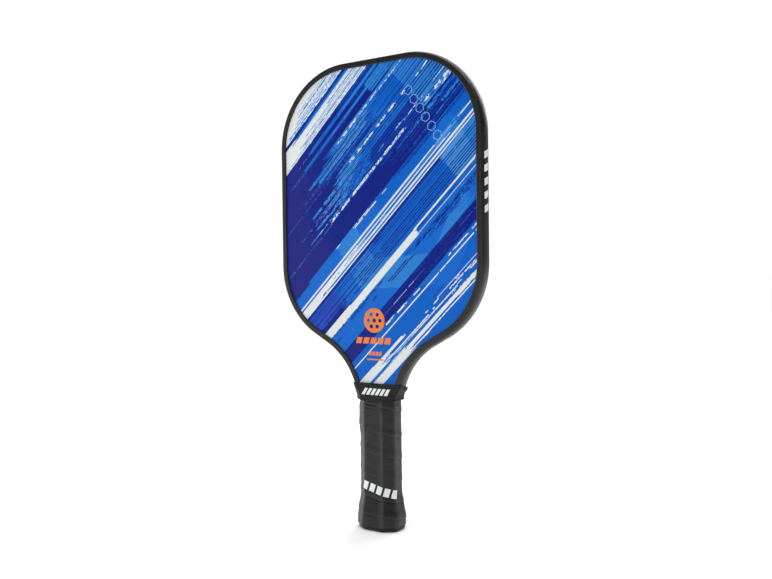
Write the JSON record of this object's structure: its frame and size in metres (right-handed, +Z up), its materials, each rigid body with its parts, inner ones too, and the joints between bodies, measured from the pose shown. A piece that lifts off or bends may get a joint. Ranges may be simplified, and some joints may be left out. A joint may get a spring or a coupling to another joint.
{
  "type": "pickleball paddle",
  "caption": "Wide-headed pickleball paddle with a streaked blue printed face, black edge guard, rubber collar and flared octagonal wrapped grip.",
  "frame": {"origin": "middle of the butt cap's flat end", "axes": "+Z up the handle to the top of the head, -Y out of the front hitting face, +X to the right seen from the front"},
  "size_m": [0.2032, 0.031, 0.4],
  "materials": {
    "polypropylene": "translucent matte",
    "scrim_cloth": "matte cloth",
    "printed_fibreglass": "clear-coated print",
    "guard_plastic": "satin",
    "adhesive_tape": "matte",
    "pallet_foam": "matte foam",
    "cap_plastic": "satin",
    "badge_plastic": "gloss",
    "steel_wire": "drawn wire",
    "grip_foam": "matte foam",
    "grip_synthetic": "smooth satin synthetic leather",
    "vinyl": "gloss",
    "collar_rubber": "matte"
  },
  "bodies": {
    "root": {"honeycomb_core": "polypropylene", "front_scrim": "scrim_cloth", "rear_scrim": "scrim_cloth", "front_face_sheet": "printed_fibreglass", "rear_face_sheet": "printed_fibreglass", "edge_guard": "guard_plastic", "edge_guard_tape": "adhesive_tape", "front_handle_pallet": "pallet_foam", "rear_handle_pallet": "pallet_foam", "butt_cap": "cap_plastic", "butt_cap_badge": "badge_plastic", "front_cap_staple": "steel_wire", "rear_cap_staple": "steel_wire", "grip_foam_backing": "grip_foam", "grip_skin": "grip_synthetic", "grip_finishing_tape": "vinyl", "rubber_collar": "collar_rubber"}
  },
  "joints": []
}
